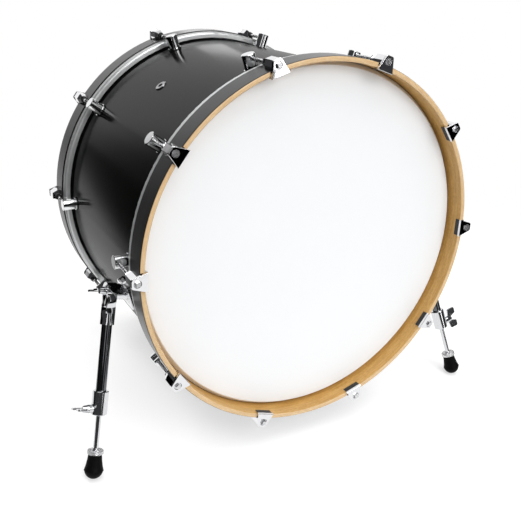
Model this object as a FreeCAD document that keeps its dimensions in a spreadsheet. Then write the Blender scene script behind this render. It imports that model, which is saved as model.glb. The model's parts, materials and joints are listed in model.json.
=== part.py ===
import FreeCAD, Part
import os

import Sketcher
from FreeCAD import Placement, Rotation, Vector

os.makedirs("parts", exist_ok=True)
document = FreeCAD.newDocument("bass_drum")
sheet = document.addObject("Spreadsheet::Sheet", "Dimensions")

# Driving dimensions, lengths in millimetres and angles in degrees
driving = {
    # wooden shell, both ends cut to a bearing edge
    "shell_radius": "279.2",
    "shell_wall": "7.5",
    "shell_length": "406",
    "edge_setback": "0.8",
    "edge_land": "0.6",
    # heads: film stretched over the edge and held in a metal flesh hoop
    "film_thickness": "0.3",
    "film_entry": "4.6",
    "film_side_room": "0.5",
    "film_end_room": "0.8",
    "flesh_clearance": "3.2",
    "flesh_depth": "14.2",
    "flesh_lip": "2.1",
    "flesh_groove_width": "1.4",
    "flesh_groove_depth": "8.4",
    "flesh_round": "4.5",
    "flesh_front_round": "1.5",
    # wooden counter hoops
    "head_recess": "27",
    "hoop_clearance": "0.1",
    "hoop_wall": "8",
    "hoop_step": "1.7",
    "hoop_depth": "40.5",
    "hoop_round": "2",
    "hoop_back_round": "0.8",
    # tension stations
    "station_count": "10",
    "rod_stand": "4.4",
    # claws and their liners
    "liner_thickness": "0.6",
    "liner_inset": "0.8",
    "claw_plate": "4",
    "claw_inner_half": "15",
    "claw_outer_half": "6.6",
    "claw_rim": "3",
    "claw_top_round": "3.5",
    "claw_edge_round": "0.7",
    "lip_thickness": "1.6",
    "lip_depth": "9",
    "lip_inset": "1",
    "barrel_length": "35",
    "barrel_gap": "0.4",
    "barrel_base_half": "9.6",
    "barrel_tip_half": "5.2",
    "barrel_base_inset": "0.8",
    "barrel_tip_inset": "4.4",
    "barrel_slope": "13",
    "barrel_roof_share": "0.55",
    "claw_bore_room": "0.3",
    "claw_recess_room": "0.5",
    "claw_recess_depth": "3.4",
    # tension rods
    "rod_radius": "2.9",
    "rod_seat_gap": "0.3",
    "rod_flange_radius": "5.5",
    "rod_flange": "2",
    "key_half": "3.1",
    "key_height": "4.4",
    "rod_past_lug": "6",
    "rod_point": "1.2",
    # round lugs that stand on the shell
    "lug_setback": "28.6",
    "lug_radius": "10.3",
    "lug_cover": "6",
    "lug_bevel": "0.8",
    "lug_foot_margin": "1",
    "lug_foot": "2",
    "lug_gasket": "1",
    "gasket_seat_gap": "0.15",
    "lug_gasket_margin": "0.5",
    "rod_end_room": "1.2",
    "running_gap": "0.05",
    # screws that hold the lugs from inside the shell
    "screw_radius": "2.5",
    "screw_head_radius": "4.5",
    "screw_head": "3.2",
    "screw_seat_gap": "0.1",
    "screw_grip": "9",
    "screw_tip_room": "0.6",
    "screw_hole_room": "0.3",
    # vent grommet
    "vent_angle": "-36.7",
    "vent_reach": "9.6",
    "vent_hole_room": "0.2",
    "vent_tube_radius": "6",
    "vent_bore_radius": "4.2",
    "vent_flange_margin": "3.8",
    "vent_flange": "1.8",
    "vent_bevel": "0.9",
    "vent_lip_margin": "2",
    "vent_lip": "1",
    "vent_lip_gap": "0.2",
    # spur pivots and brackets
    "pivot_stand": "28.3",
    "pivot_angle": "101.2",
    "pivot_reach": "113.7",
    "splay": "13.2",
    "rake": "15.9",
    "bracket_lag": "2.8",
    "bracket_half_width": "20",
    "bracket_half_length": "26",
    "bracket_corner": "9",
    "bracket_base": "7",
    "bracket_gasket": "1.2",
    "bracket_gasket_margin": "0.8",
    "bracket_edge_round": "1.5",
    "boss_radius": "12.5",
    "bracket_screw_radius": "3",
    "bracket_screw_head_radius": "5.5",
    "bracket_screw_head": "4",
    "bracket_screw_grip": "5",
    "bracket_screw_inset": "9",
    # spur legs, measured down the leg from the pivot
    "leg_reach": "288.6",
    "leg_head_half": "7.5",
    "leg_head_radius": "13.5",
    "hinge_gap": "0.3",
    "sleeve_radius": "10.8",
    "sleeve_top": "24.6",
    "sleeve_length": "26.4",
    "sleeve_cap": "8.4",
    "tube_radius": "8",
    "snug_gap": "0.03",
    "collar_radius": "12.5",
    "collar_top": "152.4",
    "collar_length": "37",
    "collar_bevel": "1.2",
    "collar_socket": "18.6",
    "collar_boss_radius": "6.5",
    "collar_boss_stand": "4.5",
    "collar_bolt_rise": "8.9",
    "leg_rod_radius": "4.3",
    "leg_rod_room": "1.3",
    "leg_rod_top": "105",
    "spike_length": "8.4",
    "spike_cover": "4",
    "spike_room": "0.6",
    # lock nuts and rubber feet
    "lock_nut_radius": "12.5",
    "lock_nut_height": "7",
    "lock_nut_bevel": "1.2",
    "lock_nut_gap": "0.3",
    "foot_top_radius": "10.5",
    "foot_waist_radius": "11.3",
    "foot_waist_drop": "8",
    "foot_swell_radius": "13.2",
    "foot_swell_drop": "18.5",
    "foot_flare_radius": "15",
    "foot_skirt": "24.5",
    "foot_dome_show": "13",
    "foot_dome_bury": "1.4",
    # wing bolts
    "pivot_bolt_radius": "4",
    "pivot_bolt_grip": "13.4",
    "pivot_bolt_tip_room": "1.6",
    "collar_bolt_radius": "3",
    "collar_bolt_tip_gap": "0.3",
    "wing_hub_radius": "6.5",
    "wing_hub_top_radius": "5",
    "wing_hub_height": "9",
    "wing_root_low": "1.5",
    "wing_root_sink": "1.5",
    "wing_span": "19.5",
    "wing_low": "5.5",
    "wing_high": "21",
    "wing_blade": "11.5",
    "wing_notch": "3",
    "wing_thickness": "3",
    "wing_tip_round": "3",
    "left_wing_turn": "100",
    # extra depth of cutting tools beyond the faces they cut
    "overrun": "5",
}

# Sizes worked out from the driving ones
worked_out = {
    # shell and heads
    "shell_half": "=shell_length / 2",
    "shell_inner": "=shell_radius - shell_wall",
    "edge_inner": "=shell_radius - edge_setback - edge_land",
    "edge_peak": "=shell_radius - edge_setback",
    "edge_bevel_start": "=shell_half - (edge_inner - shell_inner)",
    "edge_cut_start": "=shell_half - edge_setback",
    "film_face": "=shell_half + film_thickness",
    "flesh_inner": "=shell_radius + flesh_clearance",
    "flesh_groove_inner": "=flesh_inner + flesh_lip",
    "flesh_groove_outer": "=flesh_groove_inner + flesh_groove_width",
    "film_collar_radius": "=flesh_groove_inner + film_side_room",
    "hoop_inner": "=flesh_groove_outer + hoop_clearance",
    "hoop_outer": "=hoop_inner + hoop_wall",
    "flesh_outer": "=hoop_outer - hoop_step",
    "hoop_face": "=film_face + head_recess",
    "hoop_back": "=hoop_face - hoop_depth",
    "flesh_back": "=hoop_back - flesh_depth",
    "groove_floor": "=hoop_back - flesh_groove_depth",
    "film_end": "=groove_floor + film_end_room",
    # claws and rods
    "rod_circle": "=hoop_outer + rod_stand",
    "lip_half": "=claw_inner_half - lip_inset",
    "liner_face": "=hoop_face + liner_thickness",
    "claw_face": "=liner_face + claw_plate",
    "lip_top": "=sqrt(hoop_inner^2 - lip_half^2) - liner_thickness",
    "lip_bottom": "=lip_top - lip_thickness",
    "liner_half": "=lip_half - liner_inset",
    "liner_end": "=liner_face - lip_depth + liner_inset",
    "claw_bore_radius": "=rod_radius + claw_bore_room",
    "claw_recess_radius": "=rod_flange_radius + claw_recess_room",
    "claw_top_reach": "=claw_recess_radius + claw_rim",
    "claw_top": "=rod_circle + claw_top_reach",
    "barrel_bottom": "=hoop_outer + barrel_gap",
    "barrel_tip": "=liner_face - barrel_length",
    "barrel_shoulder": "=barrel_tip + barrel_slope",
    "barrel_base_roof": "=barrel_base_half * barrel_roof_share",
    "barrel_tip_roof": "=barrel_tip_half * barrel_roof_share",
    "barrel_base_rise": "=claw_top_reach - barrel_base_inset",
    "barrel_tip_rise": "=claw_top_reach - barrel_tip_inset",
    "rod_seat": "=claw_face - claw_recess_depth + rod_seat_gap",
    # lugs
    "lug_reach": "=flesh_back - lug_setback",
    "lug_mouth": "=lug_reach + lug_radius",
    "lug_top": "=rod_circle + lug_cover",
    "lug_foot_radius": "=lug_radius + lug_foot_margin",
    "gasket_seat": "=shell_radius + gasket_seat_gap",
    "lug_seat": "=shell_radius + lug_gasket",
    "lug_foot_top": "=lug_seat + lug_foot",
    "lug_gasket_radius": "=lug_foot_radius + lug_gasket_margin",
    "rod_bore_radius": "=rod_radius + running_gap",
    "rod_end": "=lug_reach - rod_past_lug",
    "rod_bore_end": "=rod_end - rod_end_room",
    "screw_seat": "=shell_inner - screw_seat_gap",
    "screw_tip": "=lug_seat + screw_grip",
    "screw_hole_radius": "=screw_radius + screw_hole_room",
    "lug_screw_bore_radius": "=screw_radius + snug_gap",
    # vent
    "vent_hole_radius": "=vent_tube_radius + vent_hole_room",
    "vent_flange_radius": "=vent_tube_radius + vent_flange_margin",
    "vent_lip_radius": "=vent_tube_radius + vent_lip_margin",
    "vent_lip_seat": "=shell_inner - vent_lip_gap",
    "vent_lip_end": "=vent_lip_seat - vent_lip",
    "vent_face": "=shell_radius + vent_flange",
    # spur brackets
    "pivot_radius": "=shell_radius + pivot_stand",
    "pivot_x": "=pivot_radius * sin(pivot_angle)",
    "pivot_z": "=pivot_radius * cos(pivot_angle)",
    "bracket_angle": "=pivot_angle + bracket_lag",
    "boss_turn": "=90 - splay - bracket_angle",
    "boss_stand": "=leg_head_half + hinge_gap",
    "boss_sink": "=pivot_stand + boss_radius",
    "boss_x": "=pivot_radius * sin(-bracket_lag) - boss_stand * sin(boss_turn)",
    "boss_z": "=pivot_radius * cos(bracket_lag) - boss_stand * cos(boss_turn)",
    "boss_bore_depth": "=pivot_bolt_grip + pivot_bolt_tip_room",
    "bracket_seat": "=shell_radius + bracket_gasket",
    "bracket_top": "=bracket_seat + bracket_base",
    "gasket_half_width": "=bracket_half_width + bracket_gasket_margin",
    "gasket_half_length": "=bracket_half_length + bracket_gasket_margin",
    "gasket_corner": "=bracket_corner + bracket_gasket_margin",
    "bracket_screw_spacing": "=bracket_half_length - bracket_screw_inset",
    "bracket_screw_tip": "=bracket_seat + bracket_screw_grip",
    "bracket_screw_hole_radius": "=bracket_screw_radius + screw_hole_room",
    "bracket_bore_radius": "=bracket_screw_radius + snug_gap",
    # spur legs
    "pivot_bore_radius": "=pivot_bolt_radius + running_gap",
    "leg_head_width": "=2 * leg_head_half",
    "pivot_bolt_length": "=leg_head_width + 2 * hinge_gap + pivot_bolt_grip",
    "sleeve_bottom": "=sleeve_top + sleeve_length",
    "tube_top": "=sleeve_top + sleeve_cap",
    "tube_bottom": "=collar_top + collar_socket",
    "tube_bore_radius": "=leg_rod_radius + leg_rod_room",
    "socket_radius": "=tube_radius + snug_gap",
    "collar_bottom": "=collar_top + collar_length",
    "collar_bolt_drop": "=collar_bottom - collar_bolt_rise",
    "collar_boss_reach": "=collar_radius + collar_boss_stand",
    "rod_guide_radius": "=leg_rod_radius + running_gap",
    "collar_bore_radius": "=collar_bolt_radius + running_gap",
    "collar_seat": "=collar_boss_reach + hinge_gap",
    "collar_bolt_length": "=collar_seat - leg_rod_radius - collar_bolt_tip_gap",
    # lock nuts, feet and wings
    "foot_length": "=foot_skirt + foot_dome_show",
    "foot_top": "=leg_reach - foot_length",
    "foot_waist": "=foot_top + foot_waist_drop",
    "foot_swell": "=foot_top + foot_swell_drop",
    "foot_flare": "=foot_top + foot_skirt",
    "foot_dome_radius": "=foot_dome_show + foot_dome_bury",
    "spike_end": "=foot_flare - spike_cover",
    "spike_start": "=spike_end - spike_length",
    "foot_bore_end": "=spike_start + spike_room",
    "foot_bore_tip": "=spike_end + spike_room",
    "dome_drop": "=leg_reach - foot_dome_radius",
    "lock_nut_bottom": "=foot_top - lock_nut_gap",
    "lock_nut_top": "=lock_nut_bottom - lock_nut_height",
    "wing_root_high": "=wing_hub_height - wing_root_sink",
    "wing_crest": "=wing_span - wing_blade",
    # the drum leans until the rear hoop and both feet stand on the floor
    "dome_y": "=-pivot_reach - dome_drop * sin(rake)",
    "dome_z": "=pivot_z - dome_drop * cos(splay) * cos(rake)",
    "heel_y": "=hoop_face - hoop_round",
    "heel_z": "=hoop_round - hoop_outer",
    "stand_run": "=heel_y - dome_y",
    "stand_drop": "=heel_z - dome_z",
    "stand_span": "=sqrt(stand_run^2 + stand_drop^2)",
    "lean": "=atan2(stand_drop; stand_run) + asin((foot_dome_radius - hoop_round) / stand_span)",
    "axle_height": "=heel_y * sin(lean) - heel_z * cos(lean) + hoop_round",
}

cells = {**driving, **worked_out}
for row, (alias, content) in enumerate(cells.items(), start=1):
    sheet.set(f"A{row}", alias)
    sheet.set(f"B{row}", content)
    sheet.setAlias(f"B{row}", alias)
document.recompute()


def size(words):
    """The value of named sizes written as a sum, such as 'hoop_face - hoop_depth'."""
    total = 0.0
    sign = 1.0
    for word in words.split():
        if word in cells:
            value = sheet.get(word)
            total += sign * getattr(value, "Value", value)
            sign = 1.0
        elif word == "-":
            sign = -1.0
    return total


def linked(words):
    """The same sum as an expression on the cells of the sheet."""
    return " ".join("Dimensions." + word if word in cells else word for word in words.split())


def new_body(label):
    body = document.addObject("PartDesign::Body", label)
    body.Label = label
    return body


def new_sketch(body, role, offset=("0", "0", "0"), turn="0"):
    """A sketch on one of the body's own planes, moved by named sizes and turned about its upright."""
    sketch = body.newObject("Sketcher::SketchObject", body.Name + "_outline")
    plane = next(feature for feature in body.Origin.OriginFeatures if feature.Role == role)
    sketch.AttachmentSupport = [(plane, "")]
    sketch.MapMode = "FlatFace"
    base = Vector(*(size(words) for words in offset))
    sketch.AttachmentOffset = Placement(base, Rotation(Vector(0, 1, 0), size(turn)))
    for letter, words in zip("xyz", offset):
        if words != "0":
            sketch.setExpression("AttachmentOffset.Base." + letter, linked(words))
    return sketch


def hold(sketch, geometry, point, words, across):
    """Ties one coordinate of a point to a sum of named sizes, or puts it on the axis."""
    if words == "0":
        sketch.addConstraint(Sketcher.Constraint("PointOnObject", geometry, point, -2 if across else -1))
        return
    kind = "DistanceX" if across else "DistanceY"
    number = sketch.addConstraint(Sketcher.Constraint(kind, -1, 1, geometry, point, size(words)))
    sketch.setExpression(f"Constraints[{number}]", linked(words))


def draw(sketch, points):
    """A closed outline through points given as pairs of sums of named sizes."""
    corners = [Vector(size(across), size(up), 0) for across, up in points]
    first = sketch.GeometryCount
    count = len(corners)
    for number, corner in enumerate(corners):
        sketch.addGeometry(Part.LineSegment(corner, corners[(number + 1) % count]))
    for number in range(count):
        following = first + (number + 1) % count
        sketch.addConstraint(Sketcher.Constraint("Coincident", first + number, 2, following, 1))
    for number, (across, up) in enumerate(points):
        hold(sketch, first + number, 1, across, True)
        hold(sketch, first + number, 1, up, False)


def ring(sketch, across, up, radius):
    """A circle with its centre and radius tied to named sizes."""
    centre = Vector(size(across), size(up), 0)
    number = sketch.addGeometry(Part.Circle(centre, Vector(0, 0, 1), size(radius)))
    hold(sketch, number, 3, across, True)
    hold(sketch, number, 3, up, False)
    tie = sketch.addConstraint(Sketcher.Constraint("Radius", number, size(radius)))
    sketch.setExpression(f"Constraints[{tie}]", linked(radius))


def block(half_width, half_height):
    """The corners of a rectangle centred on the sketch's origin."""
    return [
        ("- " + half_width, "- " + half_height),
        (half_width, "- " + half_height),
        (half_width, half_height),
        ("- " + half_width, half_height),
    ]


def turned(body, sketch, axis="V_Axis"):
    feature = body.newObject("PartDesign::Revolution", body.Name + "_turning")
    feature.Profile = sketch
    feature.ReferenceAxis = (sketch, [axis])
    feature.Angle = 360
    document.recompute()
    return feature


def padded(body, sketch, length, both=False, back=False):
    feature = body.newObject("PartDesign::Pad", body.Name + "_pad")
    feature.Profile = sketch
    feature.setExpression("Length", linked(length))
    feature.Midplane = both
    feature.Reversed = back
    document.recompute()
    return feature


def check_cut(body, feature, before):
    document.recompute()
    if not feature.Shape.Volume < before:
        raise RuntimeError(feature.Label + " removes nothing")
    return feature


def grooved(body, sketch, axis="V_Axis"):
    before = body.Tip.Shape.Volume
    feature = body.newObject("PartDesign::Groove", body.Name + "_groove")
    feature.Profile = sketch
    feature.ReferenceAxis = (sketch, [axis])
    feature.Angle = 360
    return check_cut(body, feature, before)


def pocketed(body, sketch, length, back=False):
    """A pocket that runs against the sketch's normal, or along it."""
    before = body.Tip.Shape.Volume
    feature = body.newObject("PartDesign::Pocket", body.Name + "_pocket")
    feature.Profile = sketch
    feature.setExpression("Length", linked(length))
    feature.Reversed = back
    return check_cut(body, feature, before)


def softened(body, kind, radius, wanted):
    """Rounds or bevels the edges of the body that a test picks out."""
    base = body.Tip
    names = [f"Edge{number}" for number, edge in enumerate(base.Shape.Edges, start=1) if wanted(edge)]
    feature = body.newObject("PartDesign::" + kind, body.Name + "_edge")
    feature.Base = (base, names)
    feature.setExpression("Radius" if kind == "Fillet" else "Size", linked(radius))
    document.recompute()
    return feature


def around_drum(body, features):
    """Repeats features at every tension station around the drum's axis."""
    axis = next(feature for feature in body.Origin.OriginFeatures if feature.Role == "Y_Axis")
    pattern = body.newObject("PartDesign::PolarPattern", body.Name + "_stations")
    pattern.Originals = features
    pattern.Axis = (axis, [""])
    pattern.Angle = 360
    pattern.setExpression("Occurrences", linked("station_count"))
    body.Tip = pattern
    document.recompute()
    return pattern


def lies_at(edge, axis, words):
    """Whether all of an edge lies at one named height along an axis."""
    box = edge.BoundBox
    low, high = {"x": (box.XMin, box.XMax), "y": (box.YMin, box.YMax), "z": (box.ZMin, box.ZMax)}[axis]
    near = size("film_thickness")
    return abs(low - size(words)) < near and abs(high - size(words)) < near


def is_circle(edge, words):
    """Whether an edge is a circle of a named radius."""
    return isinstance(edge.Curve, Part.Circle) and abs(edge.Curve.Radius - size(words)) < size("film_thickness")


def runs_along(edge, axis):
    return isinstance(edge.Curve, Part.Line) and edge.Curve.Direction.cross(axis).Length < edge.Tolerance


# Places: the leaning drum, its two ends, the stations between its lugs and the two spurs
X_AXIS = Vector(1, 0, 0)
Y_AXIS = Vector(0, 1, 0)
Z_AXIS = Vector(0, 0, 1)
ORIGIN = Vector(0, 0, 0)
drum = Placement(Vector(0, 0, size("axle_height")), Rotation(X_AXIS, -size("lean")))
half_turn = Placement(ORIGIN, Rotation(Z_AXIS, 180))
ends = {"front": drum * half_turn, "rear": drum}
station_step = 360 / size("station_count")
half_step = Placement(ORIGIN, Rotation(Y_AXIS, station_step / 2))


def spur_place(side):
    """The frame of one leg: its origin on the pivot, X outward along the pivot, Z up the leg."""
    pivot = Vector(side * size("pivot_x"), -size("pivot_reach"), size("pivot_z"))
    tilt = Rotation(Y_AXIS, -side * size("splay")) * Rotation(X_AXIS, -size("rake"))
    return drum * Placement(pivot, tilt * Rotation(Z_AXIS, 0 if side > 0 else 180))


def bracket_place(side):
    """The frame of one bracket: its origin on the drum's axis, Z outward through its base."""
    tilt = Rotation(Y_AXIS, side * size("bracket_angle")) * Rotation(Z_AXIS, 0 if side > 0 else 180)
    return drum * Placement(Vector(0, -size("pivot_reach"), 0), tilt)


finished = {}


def finish(label, item, place):
    item.Placement = place
    finished[label] = item


# Shell: a maple tube with a bearing edge at each end
shell = new_body("shell")
outline = new_sketch(shell, "XY_Plane")
draw(outline, [
    ("shell_inner", "- edge_bevel_start"),
    ("edge_inner", "- shell_half"),
    ("edge_peak", "- shell_half"),
    ("shell_radius", "- edge_cut_start"),
    ("shell_radius", "edge_cut_start"),
    ("edge_peak", "shell_half"),
    ("edge_inner", "shell_half"),
    ("shell_inner", "edge_bevel_start"),
])
turned(shell, outline)

# Two lug screw holes at every station, bored from the drum's axis outward
outline = new_sketch(shell, "XY_Plane")
outline.AttachmentOffset = Placement(ORIGIN, Rotation(Y_AXIS, station_step / 2))
ring(outline, "0", "lug_reach", "screw_hole_radius")
ring(outline, "0", "- lug_reach", "screw_hole_radius")
holes = pocketed(shell, outline, "shell_radius + overrun", back=True)
around_drum(shell, [holes])

# Vent hole and the screw holes of the two spur brackets
outline = new_sketch(shell, "XY_Plane", turn="vent_angle")
ring(outline, "0", "vent_reach", "vent_hole_radius")
pocketed(shell, outline, "shell_radius + overrun", back=True)
for bracket_turn in ("bracket_angle", "- bracket_angle"):
    outline = new_sketch(shell, "XY_Plane", turn=bracket_turn)
    ring(outline, "0", "bracket_screw_spacing - pivot_reach", "bracket_screw_hole_radius")
    ring(outline, "0", "- bracket_screw_spacing - pivot_reach", "bracket_screw_hole_radius")
    pocketed(shell, outline, "shell_radius + overrun", back=True)
finish("shell", shell, drum)

# Vent grommet: a flanged metal tube rolled over inside the shell
vent = new_body("vent_grommet")
outline = new_sketch(vent, "XZ_Plane")
draw(outline, [
    ("vent_bore_radius", "vent_lip_end"),
    ("vent_lip_radius", "vent_lip_end"),
    ("vent_lip_radius", "vent_lip_seat"),
    ("vent_tube_radius", "vent_lip_seat"),
    ("vent_tube_radius", "shell_radius"),
    ("vent_flange_radius", "shell_radius"),
    ("vent_flange_radius", "vent_face - vent_bevel"),
    ("vent_flange_radius - vent_bevel", "vent_face"),
    ("vent_bore_radius", "vent_face"),
])
turned(vent, outline)
vent_place = Placement(Vector(0, size("vent_reach"), 0), Rotation(Y_AXIS, size("vent_angle")))
finish("vent_grommet", vent, drum * vent_place)


def head_film(label, place):
    """Film: flat over the bearing edge, bent down its outer cut and tucked into the flesh hoop."""
    film = new_body(label)
    profile = new_sketch(film, "XY_Plane")
    draw(profile, [
        ("0", "shell_half"),
        ("edge_peak", "shell_half"),
        ("shell_radius", "edge_cut_start"),
        ("film_collar_radius", "hoop_back + film_entry"),
        ("film_collar_radius", "film_end"),
        ("film_collar_radius + film_thickness", "film_end"),
        ("film_collar_radius + film_thickness", "hoop_back + film_entry"),
        ("shell_radius + film_thickness", "edge_cut_start + film_thickness"),
        ("edge_peak", "film_face"),
        ("0", "film_face"),
    ])
    turned(film, profile)
    finish(label, film, place)


def flesh_hoop(label, place):
    """Flesh hoop: a metal ring, rounded outside, with a groove in one face for the film's edge."""
    flesh = new_body(label)
    profile = new_sketch(flesh, "XY_Plane")
    draw(profile, [
        ("flesh_inner", "flesh_back"),
        ("flesh_outer", "flesh_back"),
        ("flesh_outer", "hoop_back"),
        ("flesh_groove_outer", "hoop_back"),
        ("flesh_groove_outer", "groove_floor"),
        ("flesh_groove_inner", "groove_floor"),
        ("flesh_groove_inner", "hoop_back"),
        ("flesh_inner", "hoop_back"),
    ])
    turned(flesh, profile)
    rear_rim = lambda edge: is_circle(edge, "flesh_outer") and lies_at(edge, "y", "flesh_back")
    softened(flesh, "Fillet", "flesh_round", rear_rim)
    front_rim = lambda edge: is_circle(edge, "flesh_outer") and lies_at(edge, "y", "hoop_back")
    softened(flesh, "Fillet", "flesh_front_round", front_rim)
    finish(label, flesh, place)


def counter_hoop(label, place):
    """Counter hoop: a wooden band with rounded edges that bears on the flesh hoop."""
    hoop = new_body(label)
    profile = new_sketch(hoop, "XY_Plane")
    draw(profile, [
        ("hoop_inner", "hoop_back"),
        ("hoop_outer", "hoop_back"),
        ("hoop_outer", "hoop_face"),
        ("hoop_inner", "hoop_face"),
    ])
    turned(hoop, profile)
    softened(hoop, "Fillet", "hoop_round", lambda edge: lies_at(edge, "y", "hoop_face"))
    softened(hoop, "Fillet", "hoop_back_round", lambda edge: lies_at(edge, "y", "hoop_back"))
    finish(label, hoop, place)


def claws(label, place):
    """Claws: a cast plate over the hoop's face, a lip behind its inner edge and a faceted barrel."""
    claw = new_body(label)
    profile = new_sketch(claw, "XZ_Plane", offset=("0", "0", "- claw_face"))
    draw(profile, [
        ("- claw_inner_half", "lip_bottom"),
        ("claw_inner_half", "lip_bottom"),
        ("claw_outer_half", "claw_top"),
        ("- claw_outer_half", "claw_top"),
    ])
    padded(claw, profile, "claw_plate")
    corner = lambda edge: runs_along(edge, Y_AXIS) and lies_at(edge, "z", "claw_top")
    softened(claw, "Fillet", "claw_top_round", corner)
    rim = lambda edge: lies_at(edge, "y", "claw_face")
    softened(claw, "Fillet", "claw_edge_round", rim)

    profile = new_sketch(claw, "XZ_Plane", offset=("0", "0", "- liner_face"))
    draw(profile, [
        ("- lip_half", "lip_bottom"),
        ("lip_half", "lip_bottom"),
        ("lip_half", "lip_top"),
        ("- lip_half", "lip_top"),
    ])
    padded(claw, profile, "lip_depth")

    sections = []
    for reach, half, roof, rise in (
        ("liner_face", "barrel_base_half", "barrel_base_roof", "barrel_base_rise"),
        ("barrel_shoulder", "barrel_base_half", "barrel_base_roof", "barrel_base_rise"),
        ("barrel_tip", "barrel_tip_half", "barrel_tip_roof", "barrel_tip_rise"),
    ):
        section = new_sketch(claw, "XZ_Plane", offset=("0", "0", "- " + reach))
        draw(section, [
            ("- " + half, "barrel_bottom"),
            (half, "barrel_bottom"),
            (half, "rod_circle"),
            (roof, "rod_circle + " + rise),
            ("- " + roof, "rod_circle + " + rise),
            ("- " + half, "rod_circle"),
        ])
        sections.append(section)
    barrel = claw.newObject("PartDesign::AdditiveLoft", claw.Name + "_barrel")
    barrel.Profile = sections[0]
    barrel.Sections = sections[1:]
    barrel.Ruled = True
    document.recompute()

    profile = new_sketch(claw, "XZ_Plane", offset=("0", "0", "- claw_face"))
    ring(profile, "0", "rod_circle", "claw_recess_radius")
    pocketed(claw, profile, "claw_recess_depth", back=True)
    profile = new_sketch(claw, "XZ_Plane", offset=("0", "0", "- claw_face"))
    ring(profile, "0", "rod_circle", "claw_bore_radius")
    pocketed(claw, profile, "claw_plate + barrel_length + overrun", back=True)
    whole_pattern(claw)
    finish(label, claw, place * half_step)


def whole_pattern(body):
    """Repeats the whole piece at every tension station."""
    pattern = around_drum(body, [])
    pattern.TransformMode = "Whole shape"
    document.recompute()


def claw_liners(label, place):
    """Liners: soft strips under each claw's plate and along its lip."""
    liner = new_body(label)
    profile = new_sketch(liner, "YZ_Plane")
    draw(profile, [
        ("liner_end", "lip_top"),
        ("liner_face", "lip_top"),
        ("liner_face", "hoop_outer - liner_inset"),
        ("hoop_face", "hoop_outer - liner_inset"),
        ("hoop_face", "lip_top + liner_thickness"),
        ("liner_end", "lip_top + liner_thickness"),
    ])
    strip = padded(liner, profile, "liner_half + liner_half", both=True)
    around_drum(liner, [strip])
    finish(label, liner, place * half_step)


def lugs(label, place):
    """Lugs: round posts that stand on the shell, each with a foot and a threaded bore in its side."""
    lug = new_body(label)
    profile = new_sketch(lug, "XZ_Plane", offset=("0", "0", "- lug_reach"))
    draw(profile, [
        ("0", "shell_inner"),
        ("lug_foot_radius", "shell_inner"),
        ("lug_foot_radius", "lug_foot_top"),
        ("lug_radius", "lug_foot_top"),
        ("lug_radius", "lug_top - lug_bevel"),
        ("lug_radius - lug_bevel", "lug_top"),
        ("0", "lug_top"),
    ])
    turned(lug, profile)
    profile = new_sketch(lug, "YZ_Plane")
    draw(profile, [
        ("lug_reach - lug_foot_radius - overrun", "0"),
        ("lug_reach + lug_foot_radius + overrun", "0"),
        ("lug_reach + lug_foot_radius + overrun", "lug_seat"),
        ("lug_reach - lug_foot_radius - overrun", "lug_seat"),
    ])
    grooved(lug, profile, "H_Axis")
    profile = new_sketch(lug, "XZ_Plane", offset=("0", "0", "- lug_mouth - overrun"))
    ring(profile, "0", "rod_circle", "rod_bore_radius")
    pocketed(lug, profile, "lug_mouth + overrun - rod_bore_end", back=True)
    profile = new_sketch(lug, "XY_Plane", offset=("0", "0", "shell_inner"))
    ring(profile, "0", "lug_reach", "lug_screw_bore_radius")
    pocketed(lug, profile, "screw_tip + screw_tip_room - shell_inner", back=True)
    whole_pattern(lug)
    finish(label, lug, place * half_step)


def tension_rod(label, place):
    """Rod: a long screw with a collar and a square head for the drum key."""
    rod = new_body(label)
    profile = new_sketch(rod, "XZ_Plane")
    draw(profile, [
        ("0", "rod_end"),
        ("rod_radius - rod_point", "rod_end"),
        ("rod_radius", "rod_end + rod_point"),
        ("rod_radius", "rod_seat"),
        ("rod_flange_radius", "rod_seat"),
        ("rod_flange_radius", "rod_seat + rod_flange"),
        ("0", "rod_seat + rod_flange"),
    ])
    turned(rod, profile)
    profile = new_sketch(rod, "XY_Plane", offset=("0", "0", "rod_seat + rod_flange"))
    draw(profile, block("key_half", "key_half"))
    padded(rod, profile, "key_height")
    along_drum = Placement(Vector(0, 0, size("rod_circle")), Rotation(X_AXIS, -90))
    finish(label, rod, place * along_drum)


for end, place in ends.items():
    head_film(end + "_head_film", place)
    flesh_hoop(end + "_flesh_hoop", place)
    counter_hoop(end + "_hoop", place)
    claws(end + "_claws", place)
    claw_liners(end + "_claw_liners", place)
    lugs(end + "_lugs", place)
    for number in range(int(size("station_count"))):
        station = Placement(ORIGIN, Rotation(Y_AXIS, (number + 1 / 2) * station_step))
        tension_rod(f"{end}_tension_rod_{number + 1:02d}", place * station)

# Lug gaskets: thin rings between each lug's foot and the shell
gasket = new_body("lug_gaskets")
outline = new_sketch(gasket, "XY_Plane", offset=("0", "0", "shell_inner"))
for row in ("lug_reach", "- lug_reach"):
    ring(outline, "0", row, "lug_gasket_radius")
    ring(outline, "0", row, "screw_hole_radius")
padded(gasket, outline, "lug_foot_top - shell_inner")
outline = new_sketch(gasket, "XY_Plane")
draw(outline, [
    ("0", "- shell_half"),
    ("gasket_seat", "- shell_half"),
    ("gasket_seat", "shell_half"),
    ("0", "shell_half"),
])
grooved(gasket, outline)
outline = new_sketch(gasket, "XY_Plane")
draw(outline, [
    ("lug_seat", "- shell_half"),
    ("lug_foot_top + overrun", "- shell_half"),
    ("lug_foot_top + overrun", "shell_half"),
    ("lug_seat", "shell_half"),
])
grooved(gasket, outline)
whole_pattern(gasket)
finish("lug_gaskets", gasket, drum * half_step)

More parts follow.
